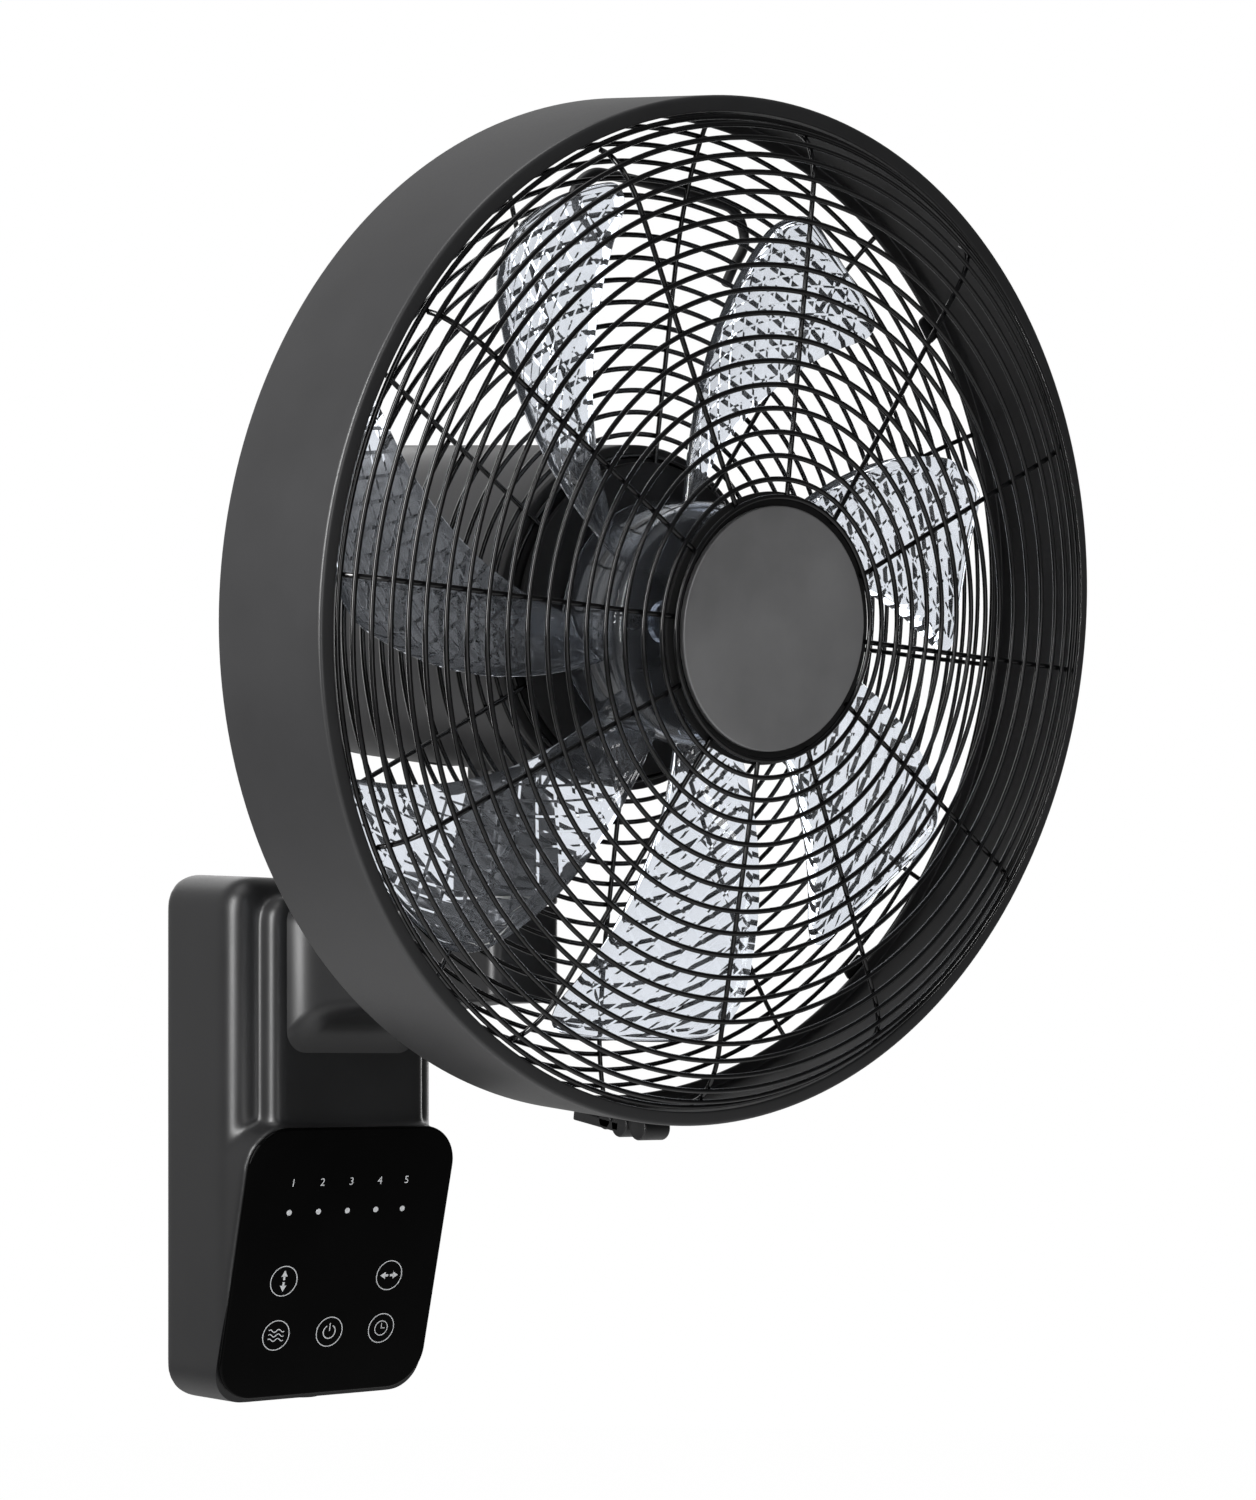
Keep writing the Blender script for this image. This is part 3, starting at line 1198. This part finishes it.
class FAN_OT_wheel(bpy.types.Operator):
    """Clear fan wheel with seven swept blades, and its nut"""

    bl_idname = "fan.wheel"
    bl_label = "Fan wheel"

    def execute(self, context):
        points, faces, where, relief = blade_form(millimetres(context.scene.fan_sizes.blade))
        blades = [placed((points, faces), Matrix.Rotation(2 * math.pi * n / BLADES, 4, "Y"))
                  for n in range(BLADES)]
        hub = lathe(soften([
            (4.3, HUB_FRONT), (HUB_RADIUS, HUB_FRONT), (HUB_RADIUS, HUB_REAR),
            (HUB_RADIUS - HUB_WALL, HUB_REAR), (HUB_RADIUS - HUB_WALL, HUB_FRONT + HUB_WALL),
            (10, HUB_FRONT + HUB_WALL), (10, 60.2), (4.3, 60.2),
        ], [0, 7, 0.5, 0.5, 5, 2, 0.5, 0], 8), 144)
        geometry = together(*blades, hub)
        piece = object_of("clear_wheel", mesh_of("clear_wheel", geometry, HEAD))
        mesh = piece.data
        count = len(hub[0])
        mesh.attributes.new("relief", "FLOAT", "POINT").data.foreach_set(
            "value", relief * BLADES + [0.0] * count)
        table = np.array(where * BLADES + [(0.0, 0.0)] * count)
        corners = np.zeros(len(mesh.loops), dtype=np.int32)
        mesh.loops.foreach_get("vertex_index", corners)
        mesh.uv_layers.new(name="blade").data.foreach_set("uv", table[corners].ravel())
        finish_piece(piece, "clear_styrene", "wheel", ("fan_wheel",), sharp_degrees=50)
        rear = HUB_FRONT - CLEARANCE
        front = rear - 14
        nut = soften([(0, front), (17, front), (17, rear), (4.3, rear), (4.3, 13.7), (0, 13.7)],
                     [0, 5, 0.6, 0, 0, 0], 8)
        add_piece("wheel_nut", lathe(nut, 96), "matt_black_plastic", "wheel", "hub_nut", HEAD)
        return {"FINISHED"}


class FAN_OT_carried_nodes(bpy.types.Operator):
    """Finishes on the solids that keep their own shape"""

    bl_idname = "fan.carried_nodes"
    bl_label = "Inner parts"

    def execute(self, context):
        slots = {s["node"]: s["material_slot"] for s in frame["record"]["subparts"]}
        for name, node in frame["nodes"].items():
            if node.hide_render:
                continue
            node.data.materials.clear()
            node.data.materials.append(FINISHES[slots[name]])
        return {"FINISHED"}


# ------------------------------------------------------------------ stage and camera


class FAN_OT_stage(bpy.types.Operator):
    """Floor, world, lamps and the camera of the photograph"""

    bl_idname = "fan.stage"
    bl_label = "Stage"

    def execute(self, context):
        scene = context.scene
        self.make_world(scene)
        self.make_floor(context)
        self.make_lamps()
        self.make_camera(scene)
        scene.view_settings.view_transform = "Standard"
        return {"FINISHED"}

    def make_world(self, scene):
        """White where the camera and clear parts see it, and a soft grey room on the object."""
        world = bpy.data.worlds.new("studio")
        scene.world = world
        world.use_nodes = True
        tree = world.node_tree
        tree.nodes.clear()
        rays = add_node(tree, "ShaderNodeLightPath")
        seen = add_node(tree, "ShaderNodeMath", {
            0: rays.outputs["Is Camera Ray"], 1: rays.outputs["Is Transmission Ray"]},
            operation="MAXIMUM")
        way = add_node(tree, "ShaderNodeTexCoord")
        parts = add_node(tree, "ShaderNodeSeparateXYZ", {"Vector": way.outputs["Generated"]})
        depth = add_node(tree, "ShaderNodeMapRange", {
            "Value": parts.outputs["Y"], "From Min": -0.2, "From Max": 0.7,
            "To Min": 0.1, "To Max": 0.45})
        room = add_node(tree, "ShaderNodeMath", {
            0: rays.outputs["Is Glossy Ray"], 1: depth.outputs["Result"]}, operation="MULTIPLY")
        soft = add_node(tree, "ShaderNodeMath", {
            0: rays.outputs["Is Diffuse Ray"], 1: 0.22, 2: room.outputs[0]},
            operation="MULTIPLY_ADD")
        light = add_node(tree, "ShaderNodeMath", {
            0: seen.outputs[0], 1: soft.outputs[0]}, operation="MAXIMUM")
        background = add_node(tree, "ShaderNodeBackground", {
            "Color": (1, 1, 1, 1), "Strength": light.outputs[0]})
        add_node(tree, "ShaderNodeOutputWorld", {"Surface": background.outputs[0]})

    def make_floor(self, context):
        """Pale floor well below the fan, almost white where the camera sees it."""
        material = bpy.data.materials.new("Floor, painted board")
        material.use_nodes = True
        tree = material.node_tree
        tree.nodes.clear()
        place = add_node(tree, "ShaderNodeTexCoord").outputs["Object"]
        cloud = add_node(tree, "ShaderNodeTexNoise", {"Vector": place, "Scale": 900.0})
        bump = add_node(tree, "ShaderNodeBump", {
            "Height": cloud.outputs["Fac"], "Distance": 0.0001, "Strength": 0.3})
        paint = add_node(tree, "ShaderNodeBsdfPrincipled", {
            "Base Color": tuple(context.scene.fan_colours.floor), "Roughness": 0.7,
            "Normal": bump.outputs["Normal"]})
        glow = add_node(tree, "ShaderNodeEmission", {"Color": (1, 1, 1, 1), "Strength": 1.0})
        rays = add_node(tree, "ShaderNodeLightPath")
        seen = add_node(tree, "ShaderNodeMath", {0: rays.outputs["Is Camera Ray"], 1: 0.996},
                        operation="MULTIPLY")
        mix = add_node(tree, "ShaderNodeMixShader", {0: seen.outputs[0]})
        tree.links.new(paint.outputs[0], mix.inputs[1])
        tree.links.new(glow.outputs[0], mix.inputs[2])
        add_node(tree, "ShaderNodeOutputMaterial", {"Surface": mix.outputs[0]})
        bm = bmesh.new()
        bmesh.ops.create_circle(bm, cap_ends=True, segments=96, radius=9.0,
                                matrix=Matrix.Translation((0, 0, -1.3)))
        mesh = bpy.data.meshes.new("floor")
        bm.to_mesh(mesh)
        bm.free()
        mesh.materials.append(material)
        object_of("floor", mesh)

    def make_lamps(self):
        """Softboxes, with place and size in metres and power in watts: a tall strong one at the
        left, and weak ones above, in front, at the right and behind."""
        for name, place, size, power in (
            ("left_box", (-2.05, -0.6, 0.75), (0.5, 1.8), 68),
            ("top_box", (-0.5, -0.3, 2.1), (1.2, 1.2), 9),
            ("front_box", (-0.9, -2.2, 0.3), (0.35, 1.8), 10),
            ("right_box", (2.0, 0.8, 0.4), (0.5, 1.6), 8),
            ("back_box", (0.5, 2.0, 1.0), (1.5, 1.5), 10),
        ):
            lamp = bpy.data.lights.new(name, "AREA")
            lamp.shape = "RECTANGLE"
            lamp.size, lamp.size_y, lamp.energy = *size, power
            box = bpy.data.objects.new(name, lamp)
            bpy.context.scene.collection.objects.link(box)
            box.location = place
            aim = Vector((0, -0.25, 0.1)) - Vector(place)
            box.rotation_euler = aim.to_track_quat("-Z", "Y").to_euler()

    def make_camera(self, scene):
        """The photograph's camera: level, and 40 degrees to the left of the fan's axis as one
        faces the fan."""
        data = bpy.data.cameras.new("camera")
        camera = bpy.data.objects.new("camera", data)
        scene.collection.objects.link(camera)
        scene.camera = camera
        camera.location = (-0.895, -1.390, 0.0385)
        forward = Vector((0.6415, 0.7672, 0.0))
        camera.rotation_euler = forward.to_track_quat("-Z", "Y").to_euler()
        data.sensor_fit, data.sensor_width = "HORIZONTAL", SENSOR_WIDTH
        data.lens = FOCAL_LENGTH / PHOTO_WIDTH * SENSOR_WIDTH
        data.shift_y = (HORIZON_ROW - PHOTO_HEIGHT / 2) / PHOTO_WIDTH
        data.clip_start = 0.01


# ------------------------------------------------------------------ add-on


OPERATORS = (
    FAN_OT_finishes, FAN_OT_stage, FAN_OT_base, FAN_OT_panel, FAN_OT_arm, FAN_OT_neck,
    FAN_OT_drum, FAN_OT_grilles, FAN_OT_badge, FAN_OT_housing, FAN_OT_bar, FAN_OT_wheel,
    FAN_OT_carried_nodes,
)


class FAN_PT_panel(bpy.types.Panel):
    """Settings and steps of the fan"""

    bl_idname = "FAN_PT_panel"
    bl_label = "Wall mounted fan"
    bl_space_type = "VIEW_3D"
    bl_region_type = "UI"
    bl_category = "Fan"

    def draw(self, context):
        sizes, colours = context.scene.fan_sizes, context.scene.fan_colours
        for group in (sizes, colours):
            for name in group.__annotations__:
                self.layout.prop(group, name)
        for operator in OPERATORS:
            self.layout.operator(operator.bl_idname)


CLASSES = (FanSizes, FanColours, *OPERATORS, FAN_PT_panel)


def register():
    for cls in CLASSES:
        bpy.utils.register_class(cls)
    bpy.types.Scene.fan_sizes = bpy.props.PointerProperty(type=FanSizes)
    bpy.types.Scene.fan_colours = bpy.props.PointerProperty(type=FanColours)


def unregister():
    del bpy.types.Scene.fan_colours
    del bpy.types.Scene.fan_sizes
    for cls in reversed(CLASSES):
        bpy.utils.unregister_class(cls)


def main():
    register()
    for operator in OPERATORS:
        step = operator.bl_idname.split(".")[1]
        getattr(bpy.ops.fan, step)()


if __name__ == "__main__":
    main()
